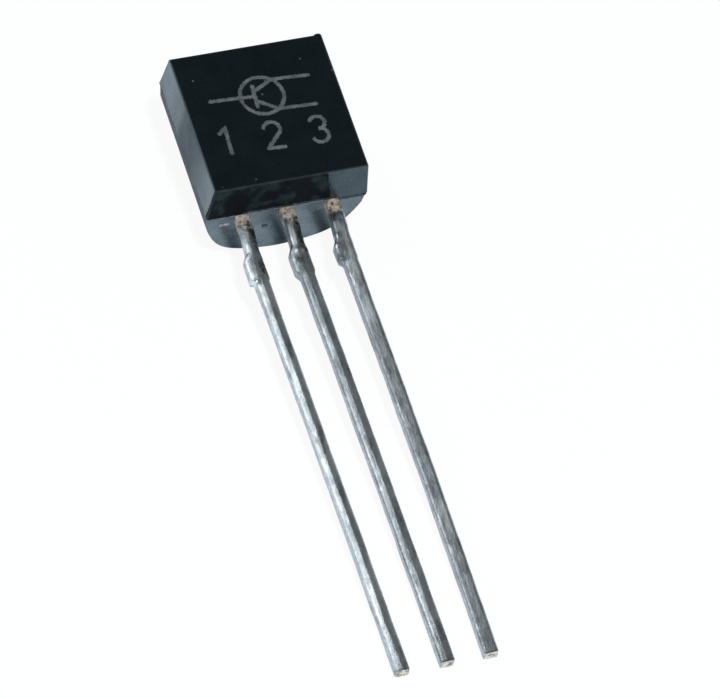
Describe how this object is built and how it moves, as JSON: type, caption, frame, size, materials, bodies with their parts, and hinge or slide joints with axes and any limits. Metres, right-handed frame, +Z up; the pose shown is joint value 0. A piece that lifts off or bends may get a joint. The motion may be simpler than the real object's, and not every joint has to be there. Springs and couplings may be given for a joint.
{
  "type": "through-hole transistor",
  "caption": "Small-signal bipolar transistor: a black moulded case with a flat front and a round back, on a row of long straight tinned leads.",
  "frame": {"origin": "middle of the part's base on the surface that it lies on", "axes": "+Z up from that surface, +Y along the part from the lead tips to the case, X across the row of leads; the case lies on its round back with its flat front up"},
  "size_m": [0.0046, 0.0188, 0.0039],
  "materials": {
    "moulding_compound": "fine satin moulding compound",
    "tinned_lead": "hot-dipped tin, bare copper at the case",
    "solder": "dull solder",
    "silicon": "polished silicon",
    "gold_wire": "bright drawn wire"
  },
  "bodies": {
    "root": {"moulded_case": "moulding_compound", "collector_lead": "tinned_lead", "base_lead": "tinned_lead", "emitter_lead": "tinned_lead", "die_attach": "solder", "transistor_die": "silicon", "base_bond_wire": "gold_wire", "emitter_bond_wire": "gold_wire"}
  },
  "joints": []
}
